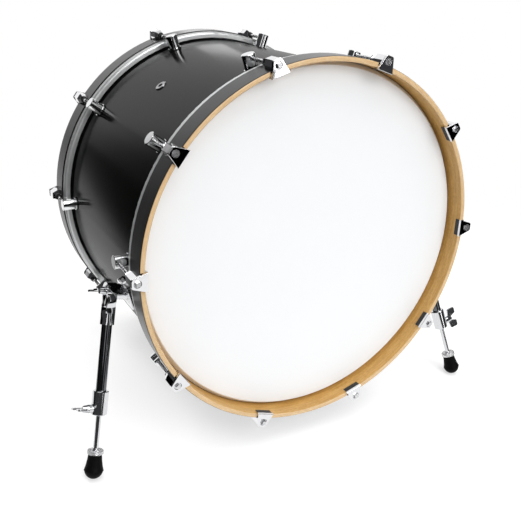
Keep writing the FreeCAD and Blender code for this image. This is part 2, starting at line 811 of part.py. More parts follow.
# Lug screws: round heads inside the shell, shanks up into the lugs
screw = new_body("lug_screws")
outline = new_sketch(screw, "XY_Plane", offset=("0", "0", "screw_seat"))
for row in ("lug_reach", "- lug_reach"):
    ring(outline, "0", row, "screw_head_radius")
heads = padded(screw, outline, "screw_head", back=True)
outline = new_sketch(screw, "XY_Plane", offset=("0", "0", "screw_seat"))
for row in ("lug_reach", "- lug_reach"):
    ring(outline, "0", row, "screw_radius")
shanks = padded(screw, outline, "screw_tip - screw_seat")
whole_pattern(screw)
finish("lug_screws", screw, drum * half_step)


def curved_plate(body, half_width, half_length, corner, top):
    """A plate with rounded corners whose underside is still flat, below the shell's surface."""
    profile = new_sketch(body, "XY_Plane", offset=("0", "0", "shell_inner"))
    draw(profile, block(half_width, half_length))
    padded(body, profile, top + " - shell_inner")
    softened(body, "Fillet", corner, lambda edge: runs_along(edge, Z_AXIS))


def hollow_under(body, seat):
    """Cuts away everything nearer to the drum's axis than a seat."""
    profile = new_sketch(body, "XY_Plane")
    draw(profile, [
        ("0", "- gasket_half_length - overrun"),
        (seat, "- gasket_half_length - overrun"),
        (seat, "gasket_half_length + overrun"),
        ("0", "gasket_half_length + overrun"),
    ])
    grooved(body, profile)


def spur_bracket(label, place):
    """Bracket: a curved base plate with a round boss that carries the leg's pivot."""
    bracket = new_body(label)
    curved_plate(bracket, "bracket_half_width", "bracket_half_length", "bracket_corner", "bracket_top")
    softened(bracket, "Fillet", "bracket_edge_round", lambda edge: lies_at(edge, "z", "bracket_top"))
    profile = new_sketch(bracket, "XY_Plane", offset=("boss_x", "0", "boss_z"), turn="boss_turn")
    ring(profile, "0", "0", "boss_radius")
    padded(bracket, profile, "boss_sink", back=True)
    hollow_under(bracket, "bracket_seat")
    profile = new_sketch(bracket, "XY_Plane", offset=("boss_x", "0", "boss_z"), turn="boss_turn")
    ring(profile, "0", "0", "pivot_bore_radius")
    pocketed(bracket, profile, "boss_bore_depth")
    profile = new_sketch(bracket, "XY_Plane", offset=("0", "0", "shell_inner"))
    ring(profile, "0", "bracket_screw_spacing", "bracket_bore_radius")
    ring(profile, "0", "- bracket_screw_spacing", "bracket_bore_radius")
    pocketed(bracket, profile, "bracket_screw_tip + screw_tip_room - shell_inner", back=True)
    finish(label, bracket, place)


def bracket_gasket(label, place):
    """Gasket: a thin curved sheet between bracket and shell, a little larger than the base."""
    pad = new_body(label)
    curved_plate(pad, "gasket_half_width", "gasket_half_length", "gasket_corner", "bracket_top")
    hollow_under(pad, "gasket_seat")
    profile = new_sketch(pad, "XY_Plane")
    draw(profile, [
        ("bracket_seat", "- gasket_half_length - overrun"),
        ("bracket_top + overrun", "- gasket_half_length - overrun"),
        ("bracket_top + overrun", "gasket_half_length + overrun"),
        ("bracket_seat", "gasket_half_length + overrun"),
    ])
    grooved(pad, profile)
    profile = new_sketch(pad, "XY_Plane", offset=("0", "0", "shell_inner"))
    ring(profile, "0", "bracket_screw_spacing", "bracket_screw_hole_radius")
    ring(profile, "0", "- bracket_screw_spacing", "bracket_screw_hole_radius")
    pocketed(pad, profile, "bracket_top - shell_inner", back=True)
    finish(label, pad, place)


def bracket_screws(label, place):
    """Screws: two round heads inside the shell with shanks up into the bracket."""
    pair = new_body(label)
    profile = new_sketch(pair, "XY_Plane", offset=("0", "0", "screw_seat"))
    ring(profile, "0", "bracket_screw_spacing", "bracket_screw_head_radius")
    ring(profile, "0", "- bracket_screw_spacing", "bracket_screw_head_radius")
    padded(pair, profile, "bracket_screw_head", back=True)
    profile = new_sketch(pair, "XY_Plane", offset=("0", "0", "screw_seat"))
    ring(profile, "0", "bracket_screw_spacing", "bracket_screw_radius")
    ring(profile, "0", "- bracket_screw_spacing", "bracket_screw_radius")
    padded(pair, profile, "bracket_screw_tip - screw_seat")
    finish(label, pair, place)


def leg_head(label, place):
    """Leg head: a round hinge eye that narrows into a sleeve for the tube."""
    head = new_body(label)
    profile = new_sketch(head, "YZ_Plane")
    ring(profile, "0", "0", "leg_head_radius")
    padded(head, profile, "leg_head_width", both=True)
    profile = new_sketch(head, "YZ_Plane")
    draw(profile, [
        ("- leg_head_radius", "0"),
        ("- sleeve_radius", "- sleeve_top"),
        ("- sleeve_radius", "- tube_top"),
        ("sleeve_radius", "- tube_top"),
        ("sleeve_radius", "- sleeve_top"),
        ("leg_head_radius", "0"),
    ])
    padded(head, profile, "leg_head_width", both=True)
    profile = new_sketch(head, "XZ_Plane")
    draw(profile, [
        ("0", "- sleeve_top"),
        ("sleeve_radius", "- sleeve_top"),
        ("sleeve_radius", "- sleeve_bottom"),
        ("0", "- sleeve_bottom"),
    ])
    turned(head, profile)
    profile = new_sketch(head, "XZ_Plane")
    draw(profile, [
        ("0", "- tube_top"),
        ("socket_radius", "- tube_top"),
        ("socket_radius", "- sleeve_bottom - overrun"),
        ("0", "- sleeve_bottom - overrun"),
    ])
    grooved(head, profile)
    profile = new_sketch(head, "YZ_Plane", offset=("0", "0", "leg_head_width"))
    ring(profile, "0", "0", "pivot_bore_radius")
    pocketed(head, profile, "leg_head_width + leg_head_width")
    finish(label, head, place)


def leg_tube(label, place):
    """Tube: the upper half of the leg, glued into the head's sleeve and the collar."""
    tube = new_body(label)
    profile = new_sketch(tube, "XZ_Plane")
    draw(profile, [
        ("tube_bore_radius", "- tube_bottom"),
        ("tube_radius", "- tube_bottom"),
        ("tube_radius", "- tube_top"),
        ("tube_bore_radius", "- tube_top"),
    ])
    turned(tube, profile)
    finish(label, tube, place)


def leg_collar(label, place):
    """Collar: guides the sliding rod and carries the wing bolt that clamps it."""
    collar = new_body(label)
    profile = new_sketch(collar, "XZ_Plane")
    draw(profile, [
        ("0", "- collar_bottom"),
        ("collar_radius - collar_bevel", "- collar_bottom"),
        ("collar_radius", "collar_bevel - collar_bottom"),
        ("collar_radius", "- collar_bevel - collar_top"),
        ("collar_radius - collar_bevel", "- collar_top"),
        ("0", "- collar_top"),
    ])
    turned(collar, profile)
    profile = new_sketch(collar, "YZ_Plane")
    ring(profile, "0", "- collar_bolt_drop", "collar_boss_radius")
    padded(collar, profile, "collar_boss_reach")
    profile = new_sketch(collar, "XZ_Plane")
    draw(profile, [
        ("0", "- collar_bottom - overrun"),
        ("rod_guide_radius", "- collar_bottom - overrun"),
        ("rod_guide_radius", "- tube_bottom"),
        ("socket_radius", "- tube_bottom"),
        ("socket_radius", "overrun - collar_top"),
        ("0", "overrun - collar_top"),
    ])
    grooved(collar, profile)
    profile = new_sketch(collar, "YZ_Plane", offset=("0", "0", "collar_boss_reach + overrun"))
    ring(profile, "0", "- collar_bolt_drop", "collar_bore_radius")
    pocketed(collar, profile, "collar_boss_reach + overrun")
    finish(label, collar, place)


def leg_rod(label, place):
    """Rod: slides in the tube and ends in a spike inside the rubber foot."""
    rod = new_body(label)
    profile = new_sketch(rod, "XZ_Plane")
    draw(profile, [
        ("0", "- spike_end"),
        ("leg_rod_radius", "- spike_start"),
        ("leg_rod_radius", "- leg_rod_top"),
        ("0", "- leg_rod_top"),
    ])
    turned(rod, profile)
    finish(label, rod, place)


def lock_nut(label, place):
    """Lock nut: a round nut run down on top of the foot."""
    locking = new_body(label)
    profile = new_sketch(locking, "XZ_Plane")
    draw(profile, [
        ("rod_guide_radius", "- lock_nut_bottom"),
        ("lock_nut_radius - lock_nut_bevel", "- lock_nut_bottom"),
        ("lock_nut_radius", "lock_nut_bevel - lock_nut_bottom"),
        ("lock_nut_radius", "- lock_nut_bevel - lock_nut_top"),
        ("lock_nut_radius - lock_nut_bevel", "- lock_nut_top"),
        ("rod_guide_radius", "- lock_nut_top"),
    ])
    turned(locking, profile)
    finish(label, locking, place)


def rubber_foot(label, place):
    """Foot: a flared rubber skirt over a domed bottom, threaded on the rod's end."""
    foot = new_body(label)
    profile = new_sketch(foot, "XZ_Plane")
    draw(profile, [
        ("rod_guide_radius", "- foot_top"),
        ("foot_top_radius", "- foot_top"),
        ("foot_waist_radius", "- foot_waist"),
        ("foot_swell_radius", "- foot_swell"),
        ("foot_flare_radius", "- foot_flare"),
        ("0", "- foot_flare"),
        ("0", "- foot_bore_tip"),
        ("rod_guide_radius", "- foot_bore_end"),
    ])
    turned(foot, profile)
    dome = foot.newObject("PartDesign::AdditiveSphere", foot.Name + "_dome")
    dome.setExpression("Radius", linked("foot_dome_radius"))
    dome.Angle1 = -90
    dome.Angle2 = 0
    plane = next(feature for feature in foot.Origin.OriginFeatures if feature.Role == "XY_Plane")
    dome.AttachmentSupport = [(plane, "")]
    dome.MapMode = "FlatFace"
    dome.setExpression("AttachmentOffset.Base.z", linked("- dome_drop"))
    document.recompute()
    finish(label, foot, place)


def wing_bolt(label, radius, length, place):
    """Wing bolt: a tapered hub with two rounded wings on a threaded shank."""
    bolt = new_body(label)
    profile = new_sketch(bolt, "XZ_Plane")
    draw(profile, [
        ("0", "- " + length),
        (radius, "- " + length),
        (radius, "0"),
        ("wing_hub_radius", "0"),
        ("wing_hub_top_radius", "wing_hub_height"),
        ("0", "wing_hub_height"),
    ])
    turned(bolt, profile)
    for sign in ("", "- "):
        profile = new_sketch(bolt, "XZ_Plane")
        draw(profile, [
            ("0", "wing_root_low"),
            (sign + "wing_span", "wing_low"),
            (sign + "wing_span", "wing_high"),
            (sign + "wing_crest", "wing_high"),
            (sign + "wing_notch", "wing_root_high"),
            ("0", "wing_root_high"),
        ])
        padded(bolt, profile, "wing_thickness", both=True)
    tips = lambda edge: runs_along(edge, Y_AXIS) and (
        lies_at(edge, "x", "wing_span") or lies_at(edge, "x", "- wing_span"))
    softened(bolt, "Fillet", "wing_tip_round", tips)
    finish(label, bolt, place)


for name, side in (("left", -1), ("right", 1)):
    on_shell = bracket_place(side)
    on_leg = spur_place(side)
    spur_bracket(name + "_spur_bracket", on_shell)
    bracket_gasket(name + "_bracket_gasket", on_shell)
    bracket_screws(name + "_bracket_screws", on_shell)
    leg_head(name + "_leg_head", on_leg)
    leg_tube(name + "_leg_tube", on_leg)
    leg_collar(name + "_leg_collar", on_leg)
    leg_rod(name + "_leg_rod", on_leg)
    lock_nut(name + "_lock_nut", on_leg)
    rubber_foot(name + "_rubber_foot", on_leg)
    outward = Rotation(Y_AXIS, 90) * Rotation(Z_AXIS, size("left_wing_turn") if side < 0 else 0)
    seat = Vector(size("leg_head_half + hinge_gap"), 0, 0)
    wing_bolt(name + "_pivot_wing_bolt", "pivot_bolt_radius", "pivot_bolt_length",
              on_leg * Placement(seat, outward))
    seat = Vector(size("collar_seat"), 0, -size("collar_bolt_drop"))
    wing_bolt(name + "_collar_wing_bolt", "collar_bolt_radius", "collar_bolt_length",
              on_leg * Placement(seat, outward))

# Every feature must be sound before the pieces are written out
document.recompute()
for item in document.Objects:
    if "Invalid" in item.State or "Error" in item.State:
        raise RuntimeError(item.Label + " could not be built")
for label, item in finished.items():
    shape = item.Shape
    if shape.isNull() or not shape.isValid():
        raise RuntimeError(label + " has no sound shape")
    shape.exportStep(f"parts/{label}.step")
print(len(finished), "pieces written")
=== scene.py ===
import json
import math

import bpy
from mathutils import Matrix, Vector

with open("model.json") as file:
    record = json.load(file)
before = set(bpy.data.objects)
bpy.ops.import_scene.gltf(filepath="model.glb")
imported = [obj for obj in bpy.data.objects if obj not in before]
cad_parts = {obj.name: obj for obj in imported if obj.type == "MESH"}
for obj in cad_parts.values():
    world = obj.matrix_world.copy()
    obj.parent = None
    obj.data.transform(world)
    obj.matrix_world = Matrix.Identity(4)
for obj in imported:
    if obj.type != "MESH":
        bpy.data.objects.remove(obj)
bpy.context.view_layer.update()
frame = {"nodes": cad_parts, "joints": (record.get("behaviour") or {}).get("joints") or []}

# Shell: a maple cylinder, stained black outside under a satin lacquer and left bare inside.
# The drum leans back on its spurs, so finishes that run round it are laid out in the drum's own frame,
# which the tension rods' axes give.
nodes = frame["nodes"]
tension_rods = [joint for joint in frame["joints"] if "_rod_" in joint["name"]]
rod_axis = Vector(tension_rods[0]["axis"])
lean = math.atan2(rod_axis.z, -rod_axis.y)
drum_centre = sum((Vector(joint["pos_m"]) for joint in tension_rods), Vector()) / len(tension_rods)


def drum_reach(name):
    """A node's least and greatest radius, and its least and greatest distance along the drum's axis."""
    upright = Matrix.Rotation(lean, 4, "X") @ Matrix.Translation(-drum_centre)
    places = [upright @ vertex.co for vertex in nodes[name].data.vertices]
    radii = [math.hypot(place.x, place.z) for place in places]
    reaches = [abs(place.y) for place in places]
    return min(radii), max(radii), min(reaches), max(reaches)


class Wire:
    """A socket in a node tree; sums, differences, products and quotients of wires become Math nodes."""

    def __init__(self, tree, socket=None):
        self.tree = tree
        self.socket = socket

    def node(self, kind, settings=None, values=None, output=0):
        """Any other node: its type, its settings, then its input values and wires."""
        made = self.tree.nodes.new(kind)
        for key, value in (settings or {}).items():
            setattr(made, key, value)
        for key, value in (values or {}).items():
            if isinstance(value, Wire):
                self.tree.links.new(value.socket, made.inputs[key])
            else:
                made.inputs[key].default_value = value
        return Wire(self.tree, made.outputs[output] if made.outputs else None)

    def math(self, operation, *others):
        return self.node("ShaderNodeMath", {"operation": operation}, dict(enumerate((self,) + others)))

    def __add__(self, other):
        return self.math("ADD", other)

    def __sub__(self, other):
        return self.math("SUBTRACT", other)

    def __mul__(self, other):
        return self.math("MULTIPLY", other)

    def __truediv__(self, other):
        return self.math("DIVIDE", other)

    __radd__ = __add__
    __rmul__ = __mul__

    def __rsub__(self, other):
        return self.node("ShaderNodeMath", {"operation": "SUBTRACT"}, {0: other, 1: self})

    def step(self, low, high):
        """0 below low, 1 above high and smooth between them."""
        return self.node("ShaderNodeMapRange", {"interpolation_type": "SMOOTHSTEP"},
                         {"Value": self, "From Min": low, "From Max": high})

    def colour(self, none, full):
        """The colour none where this wire is 0 and full where it is 1."""
        return self.node("ShaderNodeMix", {"data_type": "RGBA"}, {0: self, 6: none, 7: full}, output=2)

    def parts(self):
        """The three coordinates of a vector."""
        split = self.node("ShaderNodeSeparateXYZ", None, {"Vector": self})
        return [Wire(self.tree, out) for out in split.socket.node.outputs]

    def point(self, across, along, up):
        return self.node("ShaderNodeCombineXYZ", None, {"X": across, "Y": along, "Z": up})

    def noise(self, scale, detail=3.0, roughness=0.5):
        return self.node("ShaderNodeTexNoise", None,
                         {"Vector": self, "Scale": scale, "Detail": detail, "Roughness": roughness})

    def wave(self, pitch):
        """A sine along this wire that repeats every pitch."""
        return (self * (2.0 * math.pi / pitch)).math("SINE")

    def bump(self, strength, distance):
        return self.node("ShaderNodeBump", None,
                         {"Strength": strength, "Distance": distance, "Height": self})


class Finish:
    """A material with its surface shader, and the place on the piece as a wire."""

    def __init__(self, name, constants):
        self.material = bpy.data.materials.new(name)
        self.material.use_nodes = True
        self.tree = self.material.node_tree
        self.shader = self.tree.nodes["Principled BSDF"]
        for key, value in constants.items():
            self.shader.inputs[key].default_value = value
        self.place = Wire(self.tree).node("ShaderNodeTexCoord", output="Object")

    def feed(self, socket, wire):
        self.tree.links.new(wire.socket, self.shader.inputs[socket])

    def drum_place(self):
        """Radius, angle from the top and distance along the drum's axis, with the lean taken out."""
        level = self.place.node("ShaderNodeVectorRotate", {"rotation_type": "X_AXIS"},
                                {"Vector": self.place, "Center": drum_centre, "Angle": lean})
        across, along, up = level.parts()
        up = up - drum_centre.z
        return (across * across + up * up).math("SQRT"), across.math("ARCTAN2", up), along

    def cover(self, *names):
        for name in names:
            mesh = nodes[name].data
            mesh.materials.clear()
            mesh.materials.append(self.material)


shell_radius = drum_reach("shell")[1]
stain_depth = 0.0034
stain_blend = 0.0008
stain = Finish("black_stain", {"Coat Weight": 0.44, "Coat Roughness": 0.16, "Specular IOR Level": 0.0})
radius, turn, along = stain.drum_place()
grain = stain.place.point(turn * 60.0, along * 6.0, radius * 60.0).noise(1.0, 5.0, 0.6)
cloud = stain.place.noise(9.0, 2.0)
lacquer = grain.colour((0.0018, 0.0018, 0.0018, 1.0), (0.0048, 0.0045, 0.0042, 1.0))
bare_maple = grain.colour((0.58, 0.39, 0.20, 1.0), (0.76, 0.56, 0.33, 1.0))
stained = shell_radius - stain_depth
outside = radius.step(stained - stain_blend, stained)
stain.feed("Base Color", outside.colour(bare_maple, lacquer))
stain.feed("Roughness", 0.34 + 0.06 * cloud + 0.05 * grain)
stain.feed("Normal", grain.bump(0.06, 0.0003))
stain.cover("shell")

# Vent grommet: a plated brass eyelet that lets the air out of the drum.
# Its tube goes through the shell and is rolled over inside; the plating is smudged.
eyelet = Finish("vent_plate", {"Metallic": 1.0})
smudge = eyelet.place.noise(220.0, 3.0)
eyelet.feed("Base Color", smudge.colour((0.22, 0.22, 0.23, 1.0), (0.50, 0.50, 0.51, 1.0)))
eyelet.feed("Roughness", 0.10 + 0.12 * smudge)
eyelet.cover("vent_grommet")

# Lugs: round posts, turned from brass and chromed, that stand on the shell at every station.
# Each takes a tension rod's thread through its side, and faint turning marks run round it.
turning_pitch = 0.0009
lug_chrome = Finish("lug_chrome", {"Metallic": 1.0})
radius, turn, along = lug_chrome.drum_place()
polish = lug_chrome.place.noise(110.0, 3.0)
lug_chrome.feed("Base Color", polish.colour((0.78, 0.79, 0.80, 1.0), (0.88, 0.88, 0.89, 1.0)))
lug_chrome.feed("Roughness", 0.035 + 0.05 * polish)
lug_chrome.feed("Normal", radius.wave(turning_pitch).bump(0.02, 0.0002))
lug_chrome.cover("front_lugs", "rear_lugs")

# Gaskets: die-cut black rubber between the shell and the lugs and spur brackets.
# They spread the load on the lacquer and stop rattles.
sides = ("left", "right")
gasket_rubber = Finish("gasket_rubber", {"Specular IOR Level": 0.12})
speckle = gasket_rubber.place.noise(900.0, 3.0)
gasket_rubber.feed("Base Color", speckle.colour((0.005, 0.005, 0.005, 1.0), (0.012, 0.012, 0.012, 1.0)))
gasket_rubber.feed("Roughness", 0.6 + 0.2 * speckle)
gasket_rubber.feed("Normal", speckle.bump(0.1, 0.0002))
gasket_rubber.cover("lug_gaskets", *(side + "_bracket_gasket" for side in sides))

# Screws: zinc plated steel, driven from inside the shell into the lugs and the spur brackets.
# The plating has a cloudy bloom.
zinc = Finish("zinc_plate", {"Metallic": 1.0})
bloom = zinc.place.noise(180.0, 3.0)
zinc.feed("Base Color", bloom.colour((0.50, 0.50, 0.52, 1.0), (0.66, 0.66, 0.68, 1.0)))
zinc.feed("Roughness", 0.28 + 0.15 * bloom)
zinc.cover("lug_screws", *(side + "_bracket_screws" for side in sides))

# Spur brackets and leg heads: zinc castings, polished and chromed.
# The head swings on the bracket's boss; the cast skin leaves the chrome wavy.
cast_chrome = Finish("cast_chrome", {"Metallic": 1.0})
polish = cast_chrome.place.noise(80.0, 3.0)
cast_chrome.feed("Base Color", polish.colour((0.70, 0.71, 0.73, 1.0), (0.84, 0.84, 0.85, 1.0)))
cast_chrome.feed("Roughness", 0.05 + 0.08 * polish)
cast_chrome.feed("Normal", cast_chrome.place.noise(55.0, 0.0).bump(0.5, 0.012))
for side in sides:
    cast_chrome.cover(side + "_spur_bracket", side + "_leg_head")

# Leg tubes: drawn steel in black nickel, a little cloudy from the plating.
# The leg head's sleeve grips the top and the collar holds the bottom.
black_nickel = Finish("black_nickel", {"Metallic": 1.0})
plating = black_nickel.place.noise(70.0, 2.0)
black_nickel.feed("Base Color", plating.colour((0.12, 0.123, 0.13, 1.0), (0.17, 0.174, 0.18, 1.0)))
black_nickel.feed("Roughness", 0.05 + 0.06 * plating)
for side in sides:
    black_nickel.cover(side + "_leg_tube")

# Collars and leg rods: bright chromed steel; the rod slides in the collar to set the leg's length.
# Sliding leaves long faint rub marks on the rod.
drawn_chrome = Finish("drawn_chrome", {"Metallic": 1.0})
across, along, up = drawn_chrome.place.parts()
rub = drawn_chrome.place.point(across * 600.0, along * 600.0, up * 30.0).noise(1.0, 3.0)
drawn_chrome.feed("Base Color", rub.colour((0.66, 0.67, 0.69, 1.0), (0.82, 0.82, 0.83, 1.0)))
drawn_chrome.feed("Roughness", 0.05 + 0.09 * rub)
for side in sides:
    drawn_chrome.cover(side + "_leg_collar", side + "_leg_rod")

# Wing bolts: small zinc castings, chromed, that clamp the leg's swing and its length by hand.
# Their blades keep a slightly uneven cast skin.
wing_chrome = Finish("wing_chrome", {"Metallic": 1.0})
skin = wing_chrome.place.noise(160.0, 3.0)
wing_chrome.feed("Base Color", skin.colour((0.62, 0.63, 0.65, 1.0), (0.80, 0.80, 0.81, 1.0)))
wing_chrome.feed("Roughness", 0.08 + 0.10 * skin)
wing_chrome.feed("Normal", skin.bump(0.10, 0.0006))
for side in sides:
    wing_chrome.cover(side + "_pivot_wing_bolt", side + "_collar_wing_bolt")

# Lock nuts: chromed brass rings on top of the feet, knurled for the fingers.
# Two crossing sets of ridges run round each nut's own axis, with painted shade in the grooves.
knurl_pitch = 0.17
knurl_slant = 60.0
for side in sides:
    joint = next(entry for entry in frame["joints"] if entry["name"] == side + "_lock_nut_turn")
    down = Vector(joint["axis"])
    first = down.orthogonal().normalized()
    second = down.cross(first)
    knurled = Finish(side + "_knurled_chrome", {"Metallic": 1.0})
    centred = knurled.place.node("ShaderNodeVectorMath", {"operation": "SUBTRACT"},
                                 {0: knurled.place, 1: joint["pos_m"]})
    east, north, drop = (centred.node("ShaderNodeVectorMath", {"operation": "DOT_PRODUCT"},
                                      {0: centred, 1: way}, output="Value")
                         for way in (first, second, down))
    spin = east.math("ARCTAN2", north)
    teeth = (spin + knurl_slant * drop).wave(knurl_pitch) + (spin - knurl_slant * drop).wave(knurl_pitch)
    # The base colour is darker in the knurl's grooves: painted shade.
    knurled.feed("Base Color", teeth.step(-1.0, 1.0).colour((0.55, 0.55, 0.57, 1.0), (0.86, 0.86, 0.87, 1.0)))
    knurled.feed("Roughness", 0.14 + 0.02 * teeth)
    knurled.feed("Normal", teeth.bump(0.35, 0.0004))
    knurled.cover(side + "_lock_nut")

# Feet: moulded black rubber caps that screw down over the spikes of the leg rods.
# The rubber is matt, with a fine pebble from the mould.
foot_rubber = Finish("foot_rubber", {"Specular IOR Level": 0.06})
pebble = foot_rubber.place.noise(700.0, 3.0)
foot_rubber.feed("Base Color", pebble.colour((0.002, 0.002, 0.002, 1.0), (0.005, 0.005, 0.005, 1.0)))
foot_rubber.feed("Roughness", 0.38 + 0.2 * pebble)
foot_rubber.feed("Normal", pebble.bump(0.12, 0.0003))
foot_rubber.cover(*(side + "_rubber_foot" for side in sides))

# Heads: white polyester film, formed with a collar that goes over the shell's bearing edge.
# A fine sprayed coating dulls it.
ends = ("front", "rear")
film = Finish("white_film", {"Specular IOR Level": 0.3})
haze = film.place.noise(5.0, 3.0)
tooth = film.place.noise(2600.0, 2.0)
film.feed("Base Color", haze.colour((0.905, 0.922, 0.938, 1.0), (0.928, 0.943, 0.957, 1.0)))
film.feed("Roughness", 0.45 + 0.08 * haze)
film.feed("Normal", tooth.bump(0.05, 0.0001))
film.cover(*(end + "_head_film" for end in ends))

# Flesh hoops: rolled aluminium rings with a rounded outside that grip the film's edge.
# Rolling leaves fine lines along them.
rolled = Finish("rolled_aluminium", {"Metallic": 0.65})
radius, turn, along = rolled.drum_place()
lines = rolled.place.point(turn * 5.0, along * 900.0, radius * 900.0).noise(1.0, 3.0, 0.6)
rolled.feed("Base Color", lines.colour((0.62, 0.63, 0.63, 1.0), (0.74, 0.75, 0.75, 1.0)))
rolled.feed("Roughness", 0.30 + 0.08 * lines)
rolled.feed("Normal", lines.bump(0.015, 0.0001))
rolled.cover(*(end + "_flesh_hoop" for end in ends))

# Counter hoops: bent and glued maple bands that press the flesh hoops home.
# Clear lacquer covers the inside and the front edge, black lacquer the outside and the back edge.
hoop_inner, hoop_outer, hoop_back, hoop_face = drum_reach("front_hoop")
ply = 0.0016
edge_blend = 0.0008
black_wrap = 0.0009
black_blend = 0.0004
hoop_wood = Finish("hoop_maple", {"Coat Weight": 0.3, "Coat Roughness": 0.2, "Specular IOR Level": 0.35})
radius, turn, along = hoop_wood.drum_place()
depth = along.math("ABSOLUTE")
fibre = hoop_wood.place.point(turn * 9.0, along * 260.0, radius * 260.0).noise(1.0, 5.0, 0.6)
flake = hoop_wood.place.point(turn * 60.0, along * 420.0, radius * 420.0).noise(1.0, 2.0)
figure = (0.65 * fibre + 0.35 * flake).step(0.3, 0.72)
face_maple = figure.colour((0.46, 0.240, 0.050, 1.0), (0.65, 0.39, 0.120, 1.0))
glue_line = (radius - hoop_inner).wave(ply).step(0.7, 1.0)
edge_maple = glue_line.colour(figure.colour((0.70, 0.47, 0.24, 1.0), (0.82, 0.61, 0.36, 1.0)),
                              (0.55, 0.33, 0.14, 1.0))
edge = depth.step(hoop_face - 2.0 * edge_blend, hoop_face - edge_blend)
black = fibre.colour((0.004, 0.004, 0.0045, 1.0), (0.010, 0.010, 0.010, 1.0))
back_edge = 1.0 - depth.step(hoop_back + black_wrap - black_blend, hoop_back + black_wrap)
outside = radius.step(hoop_outer - black_wrap, hoop_outer - black_wrap + black_blend)
outside = outside.math("MAXIMUM", back_edge)
hoop_wood.feed("Base Color", outside.colour(edge.colour(face_maple, edge_maple), black))
hoop_wood.feed("Roughness", 0.30 + 0.12 * fibre)
hoop_wood.feed("Normal", fibre.bump(0.06, 0.0003))
hoop_wood.cover(*(end + "_hoop" for end in ends))

# Claws: die-cast hooks over the hoops' edges, polished and chromed.
# The pocket round each rod's head is darkened with painted shade, and the lip's inner face is coloured black.
claw_low, claw_face = drum_reach("front_claws")[::3]
claw_plate = 0.004
claw_blend = 0.0003
pocket_radius = 0.006
stations = 10
station_step = 2.0 * math.pi / stations
rod_circle = (Vector(tension_rods[0]["pos_m"]) - drum_centre).cross(rod_axis).length
claw_chrome = Finish("claw_chrome", {})
radius, turn, along = claw_chrome.drum_place()
depth = along.math("ABSOLUTE")
swing = ((turn / station_step).math("FRACT") - 0.5) * station_step
aside = radius * swing.math("SINE")
above = radius * swing.math("COSINE") - rod_circle
from_rod = (aside * aside + above * above).math("SQRT")
plate_back = claw_face - claw_plate
sunk = 1.0 - depth.step(claw_face - 2.0 * claw_blend, claw_face - claw_blend)
# Painted shade: the pocket round each rod's head is coloured near-black.
painted_pocket_shade = sunk * (1.0 - from_rod.step(pocket_radius, pocket_radius + claw_blend))
behind_plate = 1.0 - depth.step(plate_back - claw_blend, plate_back)
# The lip's inner face, behind the plate, is coloured black.
black_lip_face = behind_plate * (1.0 - radius.step(claw_low + 2.0 * claw_blend, claw_low + 3.0 * claw_blend))
pocket_shade_and_black_lip = black_lip_face.math("MAXIMUM", painted_pocket_shade)
polish = claw_chrome.place.noise(90.0, 3.0)
bright = polish.colour((0.80, 0.80, 0.82, 1.0), (0.90, 0.90, 0.91, 1.0))
claw_chrome.feed("Base Color", pocket_shade_and_black_lip.colour(bright, (0.008, 0.008, 0.008, 1.0)))
claw_chrome.feed("Metallic", 1.0 - pocket_shade_and_black_lip)
claw_chrome.feed("Roughness", 0.03 + 0.05 * polish + 0.4 * pocket_shade_and_black_lip)
claw_chrome.feed("Normal", claw_chrome.place.noise(60.0, 2.0).bump(0.03, 0.001))
claw_chrome.cover(*(end + "_claws" for end in ends))

# Claw liners: thin black rubber strips that keep the claws off the hoops' lacquer.
# They are bonded behind the plates and along the lips.
liner_rubber = Finish("liner_rubber", {"Specular IOR Level": 0.12})
speckle = liner_rubber.place.noise(800.0, 3.0)
liner_rubber.feed("Base Color", speckle.colour((0.004, 0.004, 0.004, 1.0), (0.010, 0.010, 0.010, 1.0)))
liner_rubber.feed("Roughness", 0.55 + 0.2 * speckle)
liner_rubber.feed("Normal", speckle.bump(0.1, 0.0002))
liner_rubber.cover(*(end + "_claw_liners" for end in ends))

# Tension rods: chromed steel screws through the claws, with square heads for a drum key.
# The heads are worn satin by the key, and the thread begins just before the lugs.
thread_start = 0.184
thread_pitch = 0.0011
rod_blend = 0.001
rod_chrome = Finish("rod_chrome", {"Metallic": 1.0})
radius, turn, along = rod_chrome.drum_place()
depth = along.math("ABSOLUTE")
wear = rod_chrome.place.noise(120.0, 3.0)
threaded = 1.0 - depth.step(thread_start - rod_blend, thread_start + rod_blend)
head = depth.step(plate_back, plate_back + rod_blend)
rod_chrome.feed("Base Color", wear.colour((0.62, 0.62, 0.64, 1.0), (0.82, 0.82, 0.83, 1.0)))
rod_chrome.feed("Roughness", 0.05 + 0.08 * wear + 0.06 * threaded + 0.16 * head)
rod_chrome.feed("Normal", (along.wave(thread_pitch) * threaded).bump(0.5, 0.0004))
rod_chrome.cover(*(f"{end}_tension_rod_{number:02d}" for end in ends for number in range(1, stations + 1)))

# Floor: white studio paper that keeps the drum's soft shadow and is darkest close under it, where the glow is
# dimmed as a painted contact shadow.
# In reflections its left edge runs back from the drum's left flank, with the dark room beyond it
# and on the camera's side.
lit_centre = (0.15, -0.3)
lit_reach = (0.85, 1.25)
paper_edge = (-0.43, -0.27)
edge_slant = 0.29
front_widening = 0.55
contact_reach = 0.1
bpy.ops.mesh.primitive_plane_add(size=14.0, location=(0.0, 0.0, 0.0))
floor = bpy.context.object
floor.name = "floor"
floor_material = bpy.data.materials.new("floor_white")
floor_material.use_nodes = True
floor_material.node_tree.nodes.clear()
paper = Wire(floor_material.node_tree)
camera_ray = paper.node("ShaderNodeLightPath", output="Is Camera Ray")
mirror_ray = paper.node("ShaderNodeLightPath", output="Is Glossy Ray")
mirror_ray = mirror_ray.math("MAXIMUM", paper.node("ShaderNodeLightPath", output="Is Transmission Ray"))
across, along, up = paper.node("ShaderNodeNewGeometry", output="Position").parts()
aside = across - lit_centre[0]
ahead = along - lit_centre[1]
